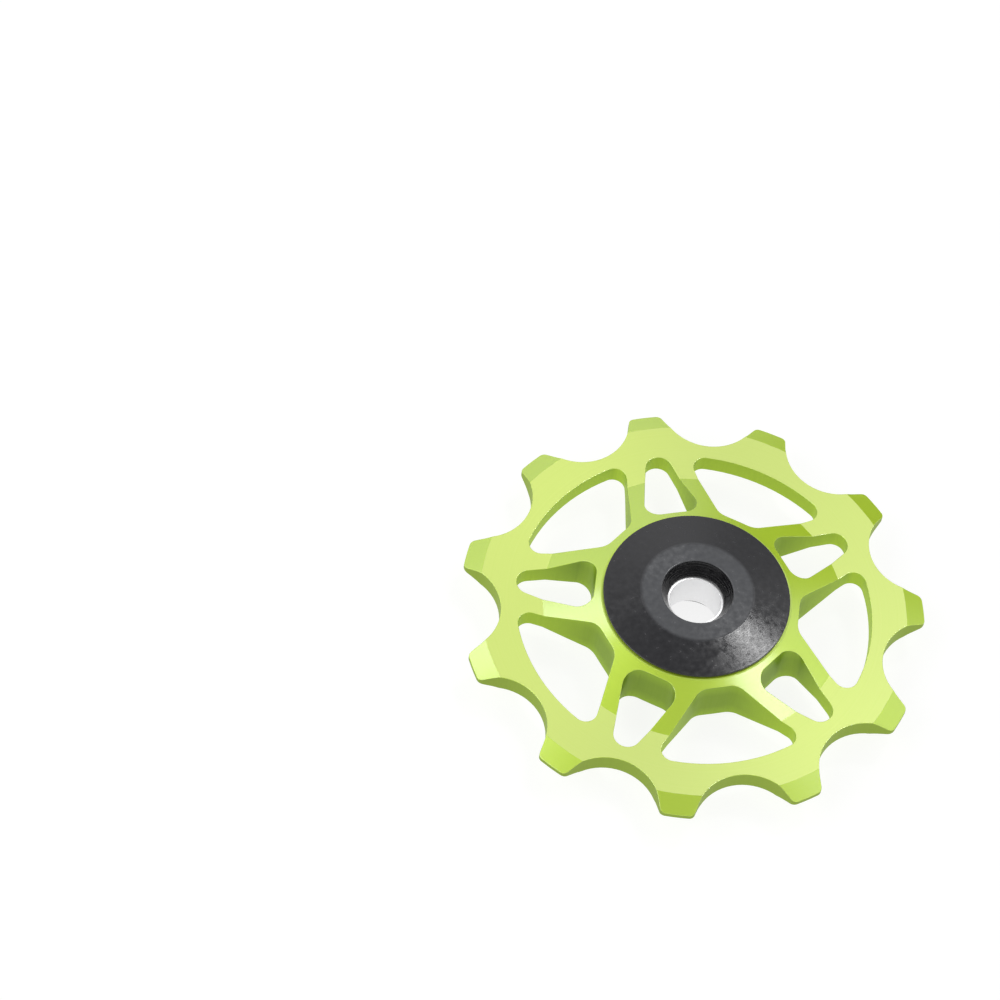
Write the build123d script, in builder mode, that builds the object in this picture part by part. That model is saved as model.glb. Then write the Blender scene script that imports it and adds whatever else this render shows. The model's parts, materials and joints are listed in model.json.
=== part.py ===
from build123d import *
from math import cos, radians, sin, sqrt, tan
import os

# A bicycle jockey wheel lying flat. The axle runs along +Z, the origin is at the centre of the bore
# on the middle plane of the teeth, and one tooth and one slim window point along +Y. All sizes are
# in millimetres and degrees.

# Chain and teeth
chain_pitch = 12.7
roller_diameter = 7.75
tooth_count = 11
first_tooth_angle = 90.0
tooth_height = 3.84
gap_arc_radius = 4.95
flank_angle = 17.0
facet_width = 1.86
tip_thickness = 0.5
tip_corner = 0.6

# Turned section of the wheel
rim_thickness = 2.0
hub_wall = 1.22
hub_cone_run = 5.4
lip_thickness = 0.28
lip_width = 0.6
bore_lead_in = 0.15

# Windows between rim and hub
spoke_count = 5
rim_wall = 1.44
leg_width = 1.96
slim_window_flare = 15.0
slim_window_tip_radius = 1.31
slim_window_corner = 1.4
slim_window_hub_wall = 1.77
wide_window_flare = 45.0
wide_window_rim_corner = 1.17
wide_window_hub_corner = 1.7
wide_window_hub_wall = 1.96

# Sealed ball bearing
bearing_bore = 8.0
bearing_outer = 16.0
bearing_width = 5.0
bearing_edge = 0.2
ball_diameter = 2.38
ball_count = 9
ball_play = 0.02
race_wall = 1.2
seal_thickness = 0.3
seal_recess = 0.15
seal_seat_width = 0.45
seal_lip_width = 0.35
seal_lip_depth = 0.15
seal_play = 0.08
cage_play = 0.15
cage_pocket_play = 0.06
cage_floor = 0.45
cage_prong = 0.55

# Caps and centre bush
bolt_bore = 5.0
cap_overhang = 1.0
cap_play = 0.1
cap_edge = 0.24
cap_rise = 0.63
cap_flat_width = 1.9
cap_mouth_width = 0.8
cap_mouth_depth = 1.54
cap_lip_height = 0.15
cap_lip_play = 0.2
cap_seat_width = 0.9
cap_spigot_depth = 1.2
bush_neck_wall = 0.9
bush_end_play = 0.05
bush_edge = 0.15
slip_fit = 0.01

# Radii and heights that follow from the sizes above
pitch_radius = chain_pitch / (2 * sin(radians(180 / tooth_count)))
root_radius = pitch_radius - roller_diameter / 2
tip_radius = root_radius + tooth_height
facet_radius = tip_radius - facet_width
rim_top = rim_thickness / 2
bearing_radius = bearing_outer / 2
bearing_top = bearing_width / 2
hub_top = bearing_top + lip_thickness
housing_radius = bearing_radius + slip_fit
hub_radius = bearing_radius + hub_wall
cap_radius = bearing_radius + cap_overhang
cone_base_radius = hub_radius + hub_cone_run
window_rim_radius = root_radius - rim_wall

ball_radius = ball_diameter / 2
ball_pitch_radius = (bearing_bore + bearing_outer) / 4
groove_radius = ball_radius + ball_play
inner_race_radius = bearing_bore / 2 + race_wall
outer_race_radius = bearing_radius - race_wall
inner_groove_reach = sqrt(groove_radius**2 - (ball_pitch_radius - inner_race_radius) ** 2)
outer_groove_reach = sqrt(groove_radius**2 - (outer_race_radius - ball_pitch_radius) ** 2)
seal_top = bearing_top - seal_recess
seal_bottom = seal_top - seal_thickness
seal_seat_radius = outer_race_radius + seal_seat_width

bolt_radius = bolt_bore / 2
spigot_radius = bearing_bore / 2 - slip_fit
spigot_end = bearing_top - cap_spigot_depth
cap_under = hub_top + cap_play
cap_edge_top = cap_under + cap_edge
cap_top = cap_edge_top + cap_rise
cap_lip_radius = bolt_radius + cap_lip_play
cap_lip_top = cap_top - cap_mouth_depth
cap_lip_bottom = cap_lip_top - cap_lip_height
cap_mouth_radius = cap_lip_radius + cap_mouth_width
cap_flat_radius = cap_mouth_radius + cap_flat_width
bush_neck_radius = bolt_radius + bush_neck_wall
bush_shoulder = spigot_end - bush_end_play
bush_end = cap_lip_bottom - bush_end_play

os.makedirs("parts", exist_ok=True)

# One tooth gap, pointing along +X: a round seat that runs out into straight flanks
gap_centre = root_radius + gap_arc_radius
gap_side_angle = flank_angle + 180 / tooth_count
flank_start_x = gap_centre - gap_arc_radius * sin(radians(gap_side_angle))
flank_start_y = gap_arc_radius * cos(radians(gap_side_angle))
flank_end_x = tip_radius + facet_width
flank_end_y = flank_start_y + (flank_end_x - flank_start_x) * tan(radians(gap_side_angle))

with BuildSketch() as tooth_gap:
    with BuildLine():
        ThreePointArc(
            (flank_start_x, flank_start_y),
            (root_radius, 0),
            (flank_start_x, -flank_start_y),
        )
        Polyline(
            (flank_start_x, -flank_start_y),
            (flank_end_x, -flank_end_y),
            (flank_end_x, flank_end_y),
            (flank_start_x, flank_start_y),
        )
    make_face()

# Outline of the teeth: a disc with the gaps taken out and the two corners of every tip rounded
with BuildSketch() as tooth_outline:
    Circle(tip_radius)
    with PolarLocations(0, tooth_count, start_angle=first_tooth_angle + 180 / tooth_count):
        add(tooth_gap.sketch, mode=Mode.SUBTRACT)
    fillet(tooth_outline.vertices().sort_by(SortBy.DISTANCE)[-2 * tooth_count :], tip_corner)

# One slim window, pointing along +X: a round tip at the rim and two round corners at the hub
slim_tip_x = window_rim_radius - slim_window_tip_radius
slim_corner_x = bearing_radius + slim_window_hub_wall + slim_window_corner
slim_corner_y = (
    (slim_window_tip_radius - slim_window_corner) / cos(radians(slim_window_flare))
    + (slim_tip_x - slim_corner_x) * tan(radians(slim_window_flare))
)

with BuildSketch() as slim_window:
    with Locations((slim_tip_x, 0)):
        Circle(slim_window_tip_radius)
    with Locations((slim_corner_x, slim_corner_y), (slim_corner_x, -slim_corner_y)):
        Circle(slim_window_corner)
    make_hull()

# One wide window, pointing along +X: its sides keep one leg's width from the slim windows beside it
wide_side_offset = (
    slim_tip_x * sin(radians(wide_window_flare - 180 / spoke_count))
    + slim_window_tip_radius
    + leg_width
)
wide_apex_x = wide_side_offset / sin(radians(wide_window_flare))
wide_hub_x = bearing_radius + wide_window_hub_wall
wide_hub_y = (wide_hub_x - wide_apex_x) * tan(radians(wide_window_flare))
wide_rim_y = (window_rim_radius - wide_apex_x) * tan(radians(wide_window_flare))

with BuildSketch() as wide_window:
    with BuildLine():
        Polyline(
            (wide_hub_x, wide_hub_y),
            (wide_hub_x, -wide_hub_y),
            (window_rim_radius, -wide_rim_y),
            (window_rim_radius, wide_rim_y),
            close=True,
        )
    make_face()
    Circle(window_rim_radius, mode=Mode.INTERSECT)
    fillet(wide_window.vertices().sort_by(Axis.X)[:2], wide_window_hub_corner)
    fillet(wide_window.vertices().group_by(Axis.Y)[0], wide_window_rim_corner)
    fillet(wide_window.vertices().group_by(Axis.Y)[-1], wide_window_rim_corner)

# Toothed wheel: a turned blank with conical hub, facetted tooth tips and a lip under the bearing
with BuildPart() as toothed_wheel:
    with BuildSketch(Plane.XZ):
        with BuildLine():
            Polyline(
                (housing_radius + bore_lead_in, hub_top),
                (hub_radius, hub_top),
                (cone_base_radius, rim_top),
                (facet_radius, rim_top),
                (tip_radius, tip_thickness / 2),
                (tip_radius, -tip_thickness / 2),
                (facet_radius, -rim_top),
                (cone_base_radius, -rim_top),
                (hub_radius, -hub_top),
                (housing_radius - lip_width, -hub_top),
                (housing_radius - lip_width, -bearing_top),
                (housing_radius, -bearing_top),
                (housing_radius, hub_top - bore_lead_in),
                close=True,
            )
        make_face()
    revolve(axis=Axis.Z)
    extrude(tooth_outline.sketch, amount=hub_top, both=True, mode=Mode.INTERSECT)
    with BuildSketch():
        with PolarLocations(0, spoke_count, start_angle=first_tooth_angle):
            add(slim_window.sketch)
        with PolarLocations(0, spoke_count, start_angle=first_tooth_angle + 180 / spoke_count):
            add(wide_window.sketch)
    extrude(amount=hub_top, both=True, mode=Mode.SUBTRACT)
toothed_wheel.part.label = "toothed_wheel"
export_step(toothed_wheel.part, "parts/toothed_wheel.step")

# Bearing rings: plain turned rings with a ball groove, and seal seats in the outer one
with BuildPart() as outer_race:
    with BuildSketch(Plane.XZ):
        with BuildLine():
            ThreePointArc(
                (outer_race_radius, outer_groove_reach),
                (ball_pitch_radius + groove_radius, 0),
                (outer_race_radius, -outer_groove_reach),
            )
            Polyline(
                (outer_race_radius, -outer_groove_reach),
                (outer_race_radius, -seal_bottom),
                (seal_seat_radius, -seal_bottom),
                (seal_seat_radius, -bearing_top),
                (bearing_radius - bearing_edge, -bearing_top),
                (bearing_radius, -bearing_top + bearing_edge),
                (bearing_radius, bearing_top - bearing_edge),
                (bearing_radius - bearing_edge, bearing_top),
                (seal_seat_radius, bearing_top),
                (seal_seat_radius, seal_bottom),
                (outer_race_radius, seal_bottom),
                (outer_race_radius, outer_groove_reach),
            )
        make_face()
    revolve(axis=Axis.Z)
outer_race.part.label = "outer_race"
export_step(outer_race.part, "parts/outer_race.step")

with BuildPart() as inner_race:
    with BuildSketch(Plane.XZ):
        with BuildLine():
            ThreePointArc(
                (inner_race_radius, -inner_groove_reach),
                (ball_pitch_radius - groove_radius, 0),
                (inner_race_radius, inner_groove_reach),
            )
            Polyline(
                (inner_race_radius, inner_groove_reach),
                (inner_race_radius, bearing_top),
                (bearing_bore / 2 + bearing_edge, bearing_top),
                (bearing_bore / 2, bearing_top - bearing_edge),
                (bearing_bore / 2, -bearing_top + bearing_edge),
                (bearing_bore / 2 + bearing_edge, -bearing_top),
                (inner_race_radius, -bearing_top),
                (inner_race_radius, -inner_groove_reach),
            )
        make_face()
    revolve(axis=Axis.Z)
inner_race.part.label = "inner_race"
export_step(inner_race.part, "parts/inner_race.step")

# Balls, each on its own, and the crown cage that spaces them
ball_places = PolarLocations(ball_pitch_radius, ball_count, start_angle=first_tooth_angle)
for number, place in enumerate(ball_places, start=1):
    with BuildPart() as ball:
        with Locations(place):
            Sphere(ball_radius)
    ball.part.label = f"ball_{number}"
    export_step(ball.part, f"parts/ball_{number}.step")

pocket_radius = ball_radius + cage_pocket_play
cage_bottom = -pocket_radius - cage_floor
cage_inner_radius = inner_race_radius + cage_play
cage_outer_radius = outer_race_radius - cage_play

with BuildPart() as ball_cage:
    with BuildSketch(Plane.XY.offset(cage_bottom)):
        Circle(cage_outer_radius)
        Circle(cage_inner_radius, mode=Mode.SUBTRACT)
    extrude(amount=cage_prong - cage_bottom)
    with PolarLocations(ball_pitch_radius, ball_count, start_angle=first_tooth_angle):
        Sphere(pocket_radius, mode=Mode.SUBTRACT)
ball_cage.part.label = "ball_cage"
export_step(ball_cage.part, "parts/ball_cage.step")

# Seals: washers in the outer ring with a lip just clear of the inner one
seal_inner_radius = inner_race_radius + seal_play

with BuildPart() as upper_seal:
    with BuildSketch(Plane.XZ):
        with BuildLine():
            Polyline(
                (seal_inner_radius, seal_top),
                (seal_seat_radius, seal_top),
                (seal_seat_radius, seal_bottom),
                (seal_inner_radius + seal_lip_width, seal_bottom),
                (seal_inner_radius, seal_bottom - seal_lip_depth),
                close=True,
            )
        make_face()
    revolve(axis=Axis.Z)
upper_seal.part.label = "upper_seal"
export_step(upper_seal.part, "parts/upper_seal.step")

with BuildPart() as lower_seal:
    mirror(upper_seal.part, about=Plane.XY)
lower_seal.part.label = "lower_seal"
export_step(lower_seal.part, "parts/lower_seal.step")

# Caps: a flat-topped cone over the hub, a seat on the inner ring and a spigot between it and the bush
with BuildPart() as upper_cap:
    with BuildSketch(Plane.XZ):
        with BuildLine():
            Polyline(
                (bush_neck_radius + slip_fit, spigot_end),
                (spigot_radius, spigot_end),
                (spigot_radius, bearing_top),
                (bearing_bore / 2 + cap_seat_width, bearing_top),
                (bearing_bore / 2 + cap_seat_width, cap_under),
                (cap_radius, cap_under),
                (cap_radius, cap_edge_top),
                (cap_flat_radius, cap_top),
                (cap_mouth_radius, cap_top),
                (cap_lip_radius, cap_lip_top),
                (cap_lip_radius, cap_lip_bottom),
                (bush_neck_radius + slip_fit, cap_lip_bottom),
                close=True,
            )
        make_face()
    revolve(axis=Axis.Z)
upper_cap.part.label = "upper_cap"
export_step(upper_cap.part, "parts/upper_cap.step")

with BuildPart() as lower_cap:
    mirror(upper_cap.part, about=Plane.XY)
lower_cap.part.label = "lower_cap"
export_step(lower_cap.part, "parts/lower_cap.step")

# Centre bush: a bright sleeve in the bearing bore, with a neck at each end that centres a cap
with BuildPart() as centre_bush:
    with BuildSketch(Plane.XZ):
        with BuildLine():
            Polyline(
                (bolt_radius, bush_end),
                (bush_neck_radius - bush_edge, bush_end),
                (bush_neck_radius, bush_end - bush_edge),
                (bush_neck_radius, bush_shoulder),
                (spigot_radius, bush_shoulder),
                (spigot_radius, -bush_shoulder),
                (bush_neck_radius, -bush_shoulder),
                (bush_neck_radius, -bush_end + bush_edge),
                (bush_neck_radius - bush_edge, -bush_end),
                (bolt_radius, -bush_end),
                close=True,
            )
        make_face()
    revolve(axis=Axis.Z)
centre_bush.part.label = "centre_bush"
export_step(centre_bush.part, "parts/centre_bush.step")
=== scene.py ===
import json
from math import copysign, cos, hypot, radians, sin

import bmesh
import bpy
from mathutils import Matrix, Vector

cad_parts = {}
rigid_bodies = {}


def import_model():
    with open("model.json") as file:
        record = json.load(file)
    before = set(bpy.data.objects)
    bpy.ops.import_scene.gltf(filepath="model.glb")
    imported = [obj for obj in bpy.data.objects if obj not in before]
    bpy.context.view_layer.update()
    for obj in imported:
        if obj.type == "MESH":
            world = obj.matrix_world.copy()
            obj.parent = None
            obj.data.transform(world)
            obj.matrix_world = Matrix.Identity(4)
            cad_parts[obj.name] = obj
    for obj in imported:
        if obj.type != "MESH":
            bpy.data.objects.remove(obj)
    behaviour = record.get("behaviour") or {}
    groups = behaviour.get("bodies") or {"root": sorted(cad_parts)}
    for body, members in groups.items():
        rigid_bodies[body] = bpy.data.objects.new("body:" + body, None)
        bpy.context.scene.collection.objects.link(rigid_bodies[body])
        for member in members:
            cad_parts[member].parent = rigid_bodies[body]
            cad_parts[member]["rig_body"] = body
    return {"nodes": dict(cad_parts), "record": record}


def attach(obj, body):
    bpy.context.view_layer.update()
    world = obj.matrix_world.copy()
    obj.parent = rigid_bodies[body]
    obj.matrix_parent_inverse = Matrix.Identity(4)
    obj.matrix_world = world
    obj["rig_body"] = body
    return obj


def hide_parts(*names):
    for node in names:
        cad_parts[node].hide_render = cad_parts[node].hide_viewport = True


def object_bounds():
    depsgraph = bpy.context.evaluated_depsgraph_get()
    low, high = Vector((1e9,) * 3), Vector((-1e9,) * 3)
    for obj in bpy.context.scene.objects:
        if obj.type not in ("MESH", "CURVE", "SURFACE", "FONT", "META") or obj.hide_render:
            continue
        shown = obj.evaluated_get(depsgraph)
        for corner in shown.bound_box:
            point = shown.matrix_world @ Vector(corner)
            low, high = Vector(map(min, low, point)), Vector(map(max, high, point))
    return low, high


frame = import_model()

# The dressed jockey wheel: rounded edges, anodised and steel finishes, a white table and soft light.
# Everything is in metres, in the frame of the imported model, apart from edges and patterns, which are in
# millimetres. A colour is the linear red, green and blue that a shader takes.

cad_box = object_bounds()
slot_of = {part["node"]: part["material_slot"] for part in frame["record"]["subparts"]}
MM_PER_M = 1000.0

# Camera, solved from the photograph, whose frame is a square of FRAME_PIXELS
FRAME_PIXELS = 1000
FOCAL_PIXELS = 4043.9
SENSOR_MM = 36.0
CLIP_START = 0.01
VIEW_HEADING = radians(18.56)
VIEW_DIP = radians(56.87)
VIEW_ROLL = radians(8.95)
AXLE_POINT = Vector((0, 0, 0.001))
AXLE_PIXEL = (694.2, 606.4)
AXLE_DEPTH = 0.3883

# Edges that are rounded, in millimetres: the radius, and how far from the axle the first rounded edge lies.
# The seat of the bearing in the wheel is hidden under the caps and stays sharp.
EDGE_ROUNDING = {
    "toothed_wheel": {"radius": 0.05, "from_axle": 8.6},
    "upper_cap": {"radius": 0.06, "from_axle": 0.0},
    "lower_cap": {"radius": 0.06, "from_axle": 0.0},
}
EDGE_SEGMENTS = 3
CIRCULAR_PROFILE = 0.5
WELD_MM = 0.0005

# What tells a real edge from a step of a flat, a cone or a curved wall, and how far a wall may lean
FLAT_ANGLE = radians(0.7)
CREASE_ANGLE = radians(30)
WALL_CORNER_ANGLE = radians(40)
WALL_SLOPE = 0.05

# Where a finish, a painted sheen or a painted shade changes, in millimetres: distances from the axle, and
# heights from the middle of the wheel
RIM_START = (14.3, 14.6)
WINDOW_RADII = (10.0, 17.4)
WINDOW_END = (17.8, 18.3)
WALL_HEIGHTS = (1.0, 2.3)
CAP_CONE_START = (5.2, 5.6)
CAP_MOUTH_END = (3.44, 3.48)

# How far the normal points along the axle, from walls to faces and from cones to the flat of the rim
FACE_SLOPES = (0.35, 0.65)
RIM_FLAT_SLOPES = (0.96, 0.99)

# Patterns: detail of the turning rings, the wave of the ribs in a cap's mouth, and the relief on its face
RING_DETAIL = 3.0
RIB_RADIANS_PER_MM = 24.0
CAP_RING_RELIEF = 0.4
CAP_SPECK_RELIEF = 1.9

# Colours of the anodised pieces
LIME = {
    "cone": (0.605, 0.83, 0.034),
    "cone_cloud": (0.645, 0.87, 0.044),
    # The paler lime of the rim flat is painted sheen, a lit copy of the cone's lime.
    "rim_flat_painted_sheen": (0.78, 0.94, 0.182),
    # The wall limes are painted shade, darker than the faces: most of all at mid-height by the hub, less
    # near the faces, lighter by the rim as painted light, and darker again by the teeth.
    "hub_wall_edge": (0.34, 0.50, 0.035),
    "hub_wall": (0.265, 0.395, 0.029),
    "rim_wall": (0.48, 0.66, 0.040),
    "tooth_wall_painted_shade": (0.31, 0.43, 0.042),
}
BLACK = {
    # The lighter black of the flat ring is painted sheen, a lit copy of the cone's black.
    "ring": (0.064, 0.066, 0.072),
    "ring_speck": (0.094, 0.097, 0.104),
    "cone": (0.018, 0.018, 0.020),
    "cone_speck": (0.032, 0.032, 0.036),
    # The darker black of the mouth is painted shade in the recess of the bore.
    "mouth_painted_shade": (0.006, 0.006, 0.007),
}

# Table: what it reflects, and the glow that lifts what the camera and mirrors see of it to white
FLOOR_SIZE = 8.0
FLOOR_WHITE = 0.17
FLOOR_LIFT = 0.865

# Sky: its level at each height, and a dark flag that fades in from its edge and above its foot
SKY_HEIGHTS = (0.0, 0.15, 0.65, 1.0)
SKY_LEVELS = (1.0, 0.68, 0.77, 0.17)
FLAG_TOWARDS = Vector((0.68, 0.68, 0.29))
FLAG_EDGE = (0.86, 0.98)
FLAG_FOOT = (0.08, 0.18)
FLAG_DEPTH = 0.95

# Lamps: the direction of each, how wide it looks and how strong it is
LAMPS = {
    "right_front_softbox": {"towards": (0.43, -0.01, 0.90), "angle": radians(18), "strength": 0.24},
    "right_back_softbox": {"towards": (0.35, 0.29, 0.89), "angle": radians(9), "strength": 0.38},
    "left_back_softbox": {"towards": (-0.39, 0.46, 0.80), "angle": radians(20), "strength": 0.185},
    "left_front_softbox": {"towards": (-0.72, -0.05, 0.69), "angle": radians(40), "strength": 0.72},
}

# Sockets of a mix node by the kind of value: its first input, its second input and its output
MIX_SOCKETS = {"FLOAT": (2, 3, 0), "VECTOR": (4, 5, 1), "RGBA": (6, 7, 2)}


class Nodes:
    """Short ways to add nodes to the tree of a material or a world."""

    def __init__(self, owner):
        owner.use_nodes = True
        self.tree = owner.node_tree

    def node(self, kind, inputs=None, **settings):
        """A new node, with its settings made and its inputs filled."""
        node = self.tree.nodes.new(kind)
        for name, value in settings.items():
            setattr(node, name, value)
        for key, value in (inputs or {}).items():
            self.put(node.inputs[key], value)
        return node

    def put(self, socket, value):
        """Links an output to a socket, or sets the socket to a plain value."""
        if isinstance(value, bpy.types.NodeSocket):
            self.tree.links.new(value, socket)
        else:
            socket.default_value = (*value, 1) if socket.type == "RGBA" else value

    def math(self, operation, first, second=0.0):
        """The result of a sum on numbers."""
        return self.node("ShaderNodeMath", {0: first, 1: second}, operation=operation).outputs[0]

    def vector(self, operation, first, second=(0, 0, 0)):
        """A node with a sum on vectors, whose result is at its output Vector or Value."""
        return self.node("ShaderNodeVectorMath", {0: first, 1: second}, operation=operation)

    def height(self, vector):
        """How far a point or a direction reaches up."""
        return self.node("ShaderNodeSeparateXYZ", {0: vector}).outputs["Z"]

    def spread(self, value, low, high, start=0.0, stop=1.0):
        """Carries start..stop of a value over to low..high."""
        inputs = {"Value": value, "From Min": start, "From Max": stop, "To Min": low, "To Max": high}
        return self.node("ShaderNodeMapRange", inputs).outputs["Result"]

    def past(self, value, steps):
        """0 up to the first of two steps of a value, 1 from the second on, and a fade between them."""
        return self.spread(value, 0.0, 1.0, *steps)

    def mix(self, kind, share, first, second):
        """One value at share 0 and another at share 1."""
        first_socket, second_socket, result = MIX_SOCKETS[kind]
        inputs = {0: share, first_socket: first, second_socket: second}
        return self.node("ShaderNodeMix", inputs, data_type=kind).outputs[result]

    def blend(self, share, first, second):
        """A mix of two numbers."""
        return self.mix("FLOAT", share, first, second)

    def tint(self, share, first, second):
        """A mix of two colours."""
        return self.mix("RGBA", share, first, second)


class Finish(Nodes):
    """A new material with its Principled shader, and patterns that follow the turned pieces."""

    def __init__(self, name, **sockets):
        self.material = bpy.data.materials.new(name)
        super().__init__(self.material)
        self.shader = self.tree.nodes["Principled BSDF"]
        for socket, value in sockets.items():
            self.set(socket.replace("_", " "), value)

    def set(self, socket, value):
        """Fills an input of the shader."""
        self.put(self.shader.inputs[socket], value)

    def place(self):
        """Where a point lies on its own piece, in millimetres."""
        point = self.node("ShaderNodeTexCoord").outputs["Object"]
        return self.vector("MULTIPLY", point, (MM_PER_M, MM_PER_M, MM_PER_M)).outputs["Vector"]

    def sideways(self, place):
        """The way from the axle out to a point."""
        return self.vector("MULTIPLY", place, (1, 1, 0)).outputs["Vector"]

    def radius(self, place):
        """How far a point lies from the axle."""
        return self.vector("LENGTH", self.sideways(place)).outputs["Value"]

    def rings(self, place, per_mm):
        """Fine rings about the axis, as a lathe leaves them."""
        inputs = {"W": self.radius(place), "Scale": per_mm, "Detail": RING_DETAIL}
        return self.node("ShaderNodeTexNoise", inputs, noise_dimensions="1D").outputs[0]

    def grain(self, place, per_mm, detail=2.0, stretch=(1, 1, 1)):
        """Soft noise, drawn out along an axis whose stretch is small."""
        drawn = self.vector("MULTIPLY", place, stretch).outputs["Vector"]
        inputs = {"Vector": drawn, "Scale": per_mm, "Detail": detail}
        return self.node("ShaderNodeTexNoise", inputs).outputs[0]

    def facing_up(self, slopes=FACE_SLOPES):
        """1 on faces that lie across the axis, 0 on walls along it."""
        height = self.height(self.node("ShaderNodeTexCoord").outputs["Normal"])
        return self.past(self.math("ABSOLUTE", height), slopes)

    def turn_tangent(self, place):
        """Draws the sheen out across the rings, as turned metal does, and upright on walls."""
        outward = self.vector("NORMALIZE", self.sideways(place)).outputs["Vector"]
        along = self.mix("VECTOR", self.facing_up(), (0, 0, 1), outward)
        settings = {"vector_type": "VECTOR", "convert_from": "OBJECT", "convert_to": "WORLD"}
        world = self.node("ShaderNodeVectorTransform", {0: along}, **settings).outputs[0]
        self.set("Tangent", self.vector("NORMALIZE", world).outputs["Vector"])

    def bump(self, height, depth_mm):
        """Lets a pattern stand up from the surface."""
        inputs = {"Height": height, "Distance": depth_mm / MM_PER_M, "Strength": 1.0}
        self.set("Normal", self.node("ShaderNodeBump", inputs).outputs["Normal"])


def lime_of_turned_faces_with_painted_sheen(finish, place):
    """Warm and faintly clouded on cones and facets, and pale on the flat of the rim, where the paler lime is
    painted sheen.
    """
    cloud = finish.grain(place, per_mm=0.12)
    cone = finish.tint(cloud, LIME["cone"], LIME["cone_cloud"])
    # Painted sheen: the flat of the rim gets a paler lime than the cones and facets.
    on_rim = finish.past(finish.radius(place), RIM_START)
    flat = finish.math("MULTIPLY", finish.facing_up(RIM_FLAT_SLOPES), on_rim)
    return finish.tint(flat, cone, LIME["rim_flat_painted_sheen"])


def lime_of_walls_with_painted_shade(finish, place):
    """Painted shade on the walls: darkest in a window near the hub, most so away from the edges, lighter by
    the rim as painted light, and shaded again by the teeth.
    """
    radius = finish.radius(place)
    # Painted shade, darkest at mid-height in a window by the hub, and painted light that lightens the walls
    # towards the rim.
    outward = finish.past(radius, WINDOW_RADII)
    by_teeth = finish.past(radius, WINDOW_END)
    off_edge = finish.spread(finish.math("ABSOLUTE", finish.height(place)), 1.0, 0.0, *WALL_HEIGHTS)
    deep_painted_shade = finish.math("MULTIPLY", off_edge, finish.math("SUBTRACT", 1.0, outward))
    hub_wall = finish.tint(deep_painted_shade, LIME["hub_wall_edge"], LIME["hub_wall"])
    window_wall_painted_light_and_shade = finish.tint(outward, hub_wall, LIME["rim_wall"])
    return finish.tint(by_teeth, window_wall_painted_light_and_shade, LIME["tooth_wall_painted_shade"])


def wheel_alloy():
    """Lime anodising under a clear film, with rings on turned faces and upright streaks on walls; the walls'
    darker lime is painted shade and the rim flat's paler lime is painted sheen.
    """
    finish = Finish("wheel_alloy", Metallic=1.0, Anisotropic=0.5, Coat_Roughness=0.2, Coat_IOR=2.45)
    place = finish.place()
    up = finish.facing_up()
    streaks = finish.grain(place, per_mm=6.0, stretch=(1, 1, 0.05))
    marks = finish.blend(up, streaks, finish.rings(place, per_mm=5.0))
    fine = finish.grain(place, per_mm=14.0)
    # Walls take the painted shade, faces the lime with painted sheen on the rim flat.
    colour = finish.tint(up, lime_of_walls_with_painted_shade(finish, place), lime_of_turned_faces_with_painted_sheen(finish, place))
    finish.set("Base Color", colour)
    finish.set("Roughness", finish.spread(marks, low=0.52, high=0.64))
    finish.set("Coat Weight", finish.spread(up, low=0.1, high=1.0))
    finish.turn_tangent(place)
    finish.bump(finish.math("ADD", marks, fine), depth_mm=0.0008)
    return finish.material


def cap_alloy():
    """Black anodising: a glossy turned cone round a flat annulus lightened by painted sheen, with fine dents
    and a ribbed bore darkened by painted shade.
    """
    finish = Finish("cap_alloy", Anisotropic=0.45, IOR=1.6)
    place = finish.place()
    radius = finish.radius(place)
    on_cone = finish.past(radius, CAP_CONE_START)
    on_face = finish.past(radius, CAP_MOUTH_END)
    specks = finish.grain(place, per_mm=1.9, detail=3.2)
    # Painted sheen: the flat ring takes a lighter black than the cone.
    ring_shade = finish.tint(specks, BLACK["ring"], BLACK["ring_speck"])
    cone_shade = finish.tint(specks, BLACK["cone"], BLACK["cone_speck"])
    face_shade = finish.tint(on_cone, ring_shade, cone_shade)
    # Painted shade: the bore of the mouth takes a darker black than the face.
    finish.set("Base Color", finish.tint(on_face, BLACK["mouth_painted_shade"], face_shade))
    finish.set("Roughness", finish.spread(specks, low=0.10, high=0.28, start=0.3, stop=0.7))
    finish.turn_tangent(place)
    ribs = finish.math("SINE", finish.math("MULTIPLY", finish.height(place), RIB_RADIANS_PER_MM))
    rings = finish.math("MULTIPLY", finish.rings(place, per_mm=6.0), CAP_RING_RELIEF)
    dents = finish.math("MULTIPLY", specks, CAP_SPECK_RELIEF)
    relief = finish.blend(on_face, ribs, finish.math("ADD", rings, dents))
    finish.bump(relief, depth_mm=0.003)
    return finish.material


def turned_steel(name, bright, dull, smooth, rough, per_mm):
    """Bare steel with rings from turning or grinding, on its faces and round its walls."""
    finish = Finish(name, Metallic=1.0, Anisotropic=0.5)
    place = finish.place()
    wall_rings = finish.grain(place, per_mm, stretch=(0.02, 0.02, 1))
    marks = finish.math("ADD", finish.rings(place, per_mm), wall_rings)
    average = finish.math("MULTIPLY", marks, 0.5)
    finish.set("Base Color", finish.tint(average, dull, bright))
    finish.set("Roughness", finish.spread(average, low=smooth, high=rough))
    finish.turn_tangent(place)
    finish.bump(marks, depth_mm=0.001)
    return finish.material


def bush_steel():
    """Bright reamed steel."""
    bright, dull = (0.98, 0.98, 0.98), (0.95, 0.95, 0.96)
    return turned_steel("bush_steel", bright, dull, smooth=0.30, rough=0.36, per_mm=7.0)


def race_steel():
    """Ground bearing steel."""
    bright, dull = (0.68, 0.68, 0.70), (0.55, 0.55, 0.57)
    return turned_steel("race_steel", bright, dull, smooth=0.16, rough=0.28, per_mm=10.0)


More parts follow.
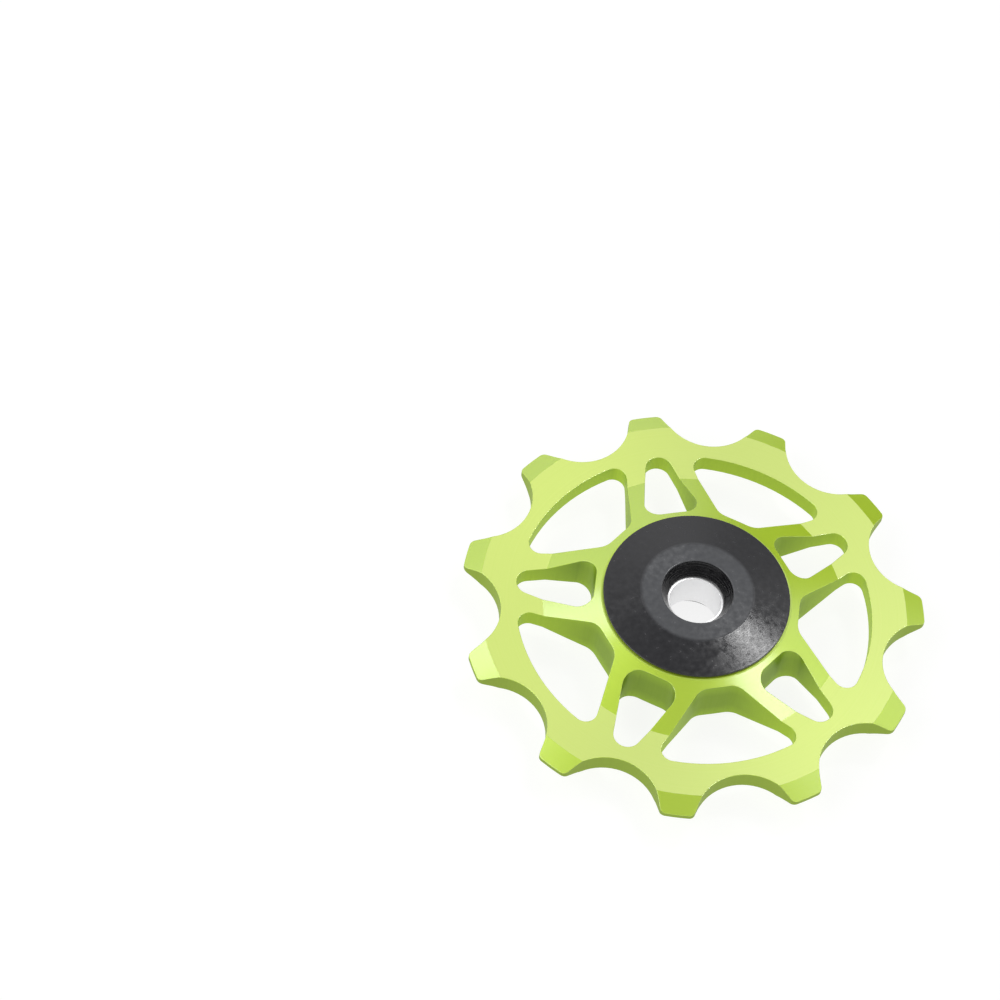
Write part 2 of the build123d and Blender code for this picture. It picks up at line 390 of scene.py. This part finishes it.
def ball_steel():
    """Polished balls with a faint haze."""
    finish = Finish("ball_steel", Metallic=1.0)
    place = finish.place()
    clear, hazy = (0.66, 0.66, 0.68), (0.74, 0.74, 0.76)
    haze = finish.grain(place, per_mm=3.0, detail=4.0)
    finish.set("Base Color", finish.tint(haze, clear, hazy))
    finish.set("Roughness", finish.spread(haze, low=0.04, high=0.12))
    finish.bump(finish.grain(place, per_mm=20.0), depth_mm=0.0002)
    return finish.material


def cage_nylon():
    """Natural moulded nylon, slightly mottled."""
    finish = Finish("cage_nylon", Subsurface_Weight=0.15, Subsurface_Scale=0.0005)
    place = finish.place()
    honey, cream = (0.66, 0.62, 0.50), (0.76, 0.73, 0.63)
    mottle = finish.grain(place, per_mm=1.2, detail=3.0)
    finish.set("Base Color", finish.tint(mottle, honey, cream))
    finish.set("Roughness", finish.spread(mottle, low=0.40, high=0.58))
    finish.bump(finish.grain(place, per_mm=12.0), depth_mm=0.004)
    return finish.material


def seal_rubber():
    """Black moulded rubber with a dry bloom and faint mould rings."""
    finish = Finish("seal_rubber", Specular_IOR_Level=0.35)
    place = finish.place()
    fresh, dry = (0.018, 0.018, 0.018), (0.040, 0.040, 0.042)
    bloom = finish.grain(place, per_mm=2.5, detail=4.0)
    mould = finish.math("ADD", finish.rings(place, per_mm=4.0), finish.grain(place, per_mm=16.0))
    finish.set("Base Color", finish.tint(bloom, fresh, dry))
    finish.set("Roughness", finish.spread(bloom, low=0.55, high=0.75))
    finish.bump(mould, depth_mm=0.003)
    return finish.material


def is_wall(face):
    """True on a face that stands along the axis."""
    return abs(face.normal.z) < WALL_SLOPE


def is_outer_edge(edge, from_axle):
    """True on a convex corner far enough from the axle, but not between two steps of one curved wall."""
    middle = (edge.verts[0].co + edge.verts[1].co) / 2
    if hypot(middle.x, middle.y) < from_axle or not (edge.is_manifold and edge.is_convex):
        return False
    curved_wall = all(is_wall(face) for face in edge.link_faces)
    return edge.calc_face_angle() > (WALL_CORNER_ANGLE if curved_wall else CREASE_ANGLE)


def surface_normal(face, point, rounded):
    """The normal of the true surface at a corner of a face: a wall, or a surface turned about the axis."""
    if is_wall(face):
        steps = [other.normal for other in point.link_faces if other not in rounded and is_wall(other)]
        close = [normal for normal in steps if normal.dot(face.normal) > cos(WALL_CORNER_ANGLE)]
        return sum(close, Vector()).normalized()
    outward = Vector((point.co.x, point.co.y, 0)).normalized()
    lean = copysign(hypot(face.normal.x, face.normal.y), face.normal.dot(outward))
    return outward * lean + Vector((0, 0, face.normal.z))


def corner_normal(face, point, rounded):
    """As surface_normal, and on a rounded edge the normal of the surface that it runs into."""
    if face not in rounded:
        return surface_normal(face, point, rounded)
    plain = [other for other in point.link_faces if other not in rounded]
    if plain:
        nearest = max(plain, key=lambda other: other.normal.dot(face.normal))
        return surface_normal(nearest, point, rounded)
    return sum((other.normal for other in point.link_faces), Vector()).normalized()


def softened_mesh(source, name, radius, from_axle):
    """A copy of a mesh with its outer edges rounded, and with the normals of the true surfaces."""
    shape = bmesh.new()
    shape.from_mesh(source)
    bmesh.ops.scale(shape, vec=Vector((MM_PER_M, MM_PER_M, MM_PER_M)), verts=shape.verts)
    bmesh.ops.remove_doubles(shape, verts=shape.verts, dist=WELD_MM)
    bmesh.ops.dissolve_limit(shape, angle_limit=FLAT_ANGLE, verts=shape.verts, edges=shape.edges)
    shape.normal_update()
    bevel = bmesh.ops.bevel(
        shape,
        geom=[edge for edge in shape.edges if is_outer_edge(edge, from_axle)],
        offset=radius,
        offset_type="OFFSET",
        segments=EDGE_SEGMENTS,
        profile=CIRCULAR_PROFILE,
        affect="EDGES",
        clamp_overlap=False,
    )
    rounded = set(bevel["faces"])
    shape.normal_update()
    for edge in shape.edges:
        edge.smooth = True
    normals = []
    for face in shape.faces:
        face.smooth = True
        normals.extend(corner_normal(face, point, rounded) for point in face.verts)
    bmesh.ops.scale(shape, vec=Vector((1, 1, 1)) / MM_PER_M, verts=shape.verts)
    mesh = bpy.data.meshes.new(name)
    shape.to_mesh(mesh)
    shape.free()
    mesh.normals_split_custom_set(normals)
    return mesh


def softened(name):
    """A copy of a CAD node with its outer edges rounded, which stands in for the node."""
    node = frame["nodes"][name]
    mesh = softened_mesh(node.data, f"{name}_softened", **EDGE_ROUNDING[name])
    piece = bpy.data.objects.new(f"{name}_softened", mesh)
    bpy.context.scene.collection.objects.link(piece)
    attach(piece, node["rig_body"])
    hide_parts(name)
    return piece


def dress_pieces():
    """Rounds the wheel and the caps, and gives each piece the finish of its slot."""
    makers = (wheel_alloy, cap_alloy, bush_steel, race_steel, ball_steel, cage_nylon, seal_rubber)
    finishes = {maker.__name__: maker() for maker in makers}
    for name, node in frame["nodes"].items():
        piece = softened(name) if name in EDGE_ROUNDING else node
        piece.data.materials.clear()
        piece.data.materials.append(finishes[slot_of[name]])


def floor_paper():
    """Paper that takes a shadow, and that is pure white where none falls."""
    material = bpy.data.materials.new("floor")
    nodes = Nodes(material)
    nodes.tree.nodes.remove(nodes.tree.nodes["Principled BSDF"])
    rays = nodes.node("ShaderNodeLightPath").outputs
    mirrored = nodes.math("MAXIMUM", rays["Is Glossy Ray"], rays["Is Transmission Ray"])
    seen = nodes.math("MAXIMUM", rays["Is Camera Ray"], mirrored)
    paper = nodes.node("ShaderNodeBsdfDiffuse", {"Color": (FLOOR_WHITE, FLOOR_WHITE, FLOOR_WHITE)})
    glow = nodes.node("ShaderNodeEmission", {"Strength": nodes.math("MULTIPLY", seen, FLOOR_LIFT)})
    both = nodes.node("ShaderNodeAddShader", {0: paper.outputs[0], 1: glow.outputs[0]})
    nodes.put(nodes.tree.nodes["Material Output"].inputs["Surface"], both.outputs[0])
    return material


def lay_floor():
    """A white table that the part lies on."""
    half = FLOOR_SIZE / 2
    height = cad_box[0][2]
    mesh = bpy.data.meshes.new("floor")
    corners = [(x, y, height) for x, y in ((-half, -half), (half, -half), (half, half), (-half, half))]
    mesh.from_pydata(corners, [], [(0, 1, 2, 3)])
    floor = bpy.data.objects.new("floor", mesh)
    bpy.context.scene.collection.objects.link(floor)
    mesh.materials.append(floor_paper())


def hang_sky():
    """A sky that is white at the horizon and dim overhead, with a dark flag at the back right."""
    world = bpy.data.worlds.new("studio")
    bpy.context.scene.world = world
    nodes = Nodes(world)
    direction = nodes.node("ShaderNodeTexCoord").outputs["Generated"]
    height = nodes.height(direction)
    facing = nodes.vector("DOT_PRODUCT", direction, FLAG_TOWARDS.normalized()).outputs["Value"]
    above = nodes.past(height, FLAG_FOOT)
    shade = nodes.math("MULTIPLY", nodes.spread(facing, 0.0, FLAG_DEPTH, *FLAG_EDGE), above)
    fade = nodes.node("ShaderNodeValToRGB", {0: height})
    for place in SKY_HEIGHTS[1:-1]:
        fade.color_ramp.elements.new(place)
    for stop, place, level in zip(fade.color_ramp.elements, SKY_HEIGHTS, SKY_LEVELS):
        stop.position = place
        stop.color = (level, level, level, 1)
    sky = nodes.tree.nodes["Background"]
    nodes.put(sky.inputs["Color"], fade.outputs["Color"])
    nodes.put(sky.inputs["Strength"], nodes.math("SUBTRACT", 1.0, shade))


def hang_lamps():
    """Soft lamps, each of which shines from its own side."""
    for name, setting in LAMPS.items():
        lamp = bpy.data.lights.new(name, "SUN")
        lamp.angle = setting["angle"]
        lamp.energy = setting["strength"]
        holder = bpy.data.objects.new(name, lamp)
        holder.rotation_euler = Vector(setting["towards"]).to_track_quat("Z", "Y").to_euler()
        bpy.context.scene.collection.objects.link(holder)


def set_camera():
    """Stands the camera so that the axle falls on its pixel of the photograph."""
    ahead = Vector((sin(VIEW_HEADING) * cos(VIEW_DIP), cos(VIEW_HEADING) * cos(VIEW_DIP), -sin(VIEW_DIP)))
    level = Vector((cos(VIEW_HEADING), -sin(VIEW_HEADING), 0))
    upright = level.cross(ahead)
    right = level * cos(VIEW_ROLL) + upright * sin(VIEW_ROLL)
    up = upright * cos(VIEW_ROLL) - level * sin(VIEW_ROLL)
    across = (AXLE_PIXEL[0] - FRAME_PIXELS / 2) / FOCAL_PIXELS
    down = (AXLE_PIXEL[1] - FRAME_PIXELS / 2) / FOCAL_PIXELS
    stand = AXLE_POINT - AXLE_DEPTH * (ahead + right * across - up * down)
    data = bpy.data.cameras.new("camera")
    data.sensor_width = SENSOR_MM
    data.lens = SENSOR_MM * FOCAL_PIXELS / FRAME_PIXELS
    data.clip_start = CLIP_START
    camera = bpy.data.objects.new("camera", data)
    camera.matrix_world = Matrix.Translation(stand) @ Matrix((right, up, -ahead)).transposed().to_4x4()
    bpy.context.scene.collection.objects.link(camera)
    bpy.context.scene.camera = camera


dress_pieces()
lay_floor()
hang_sky()
hang_lamps()
set_camera()
bpy.context.scene.view_settings.view_transform = "Standard"
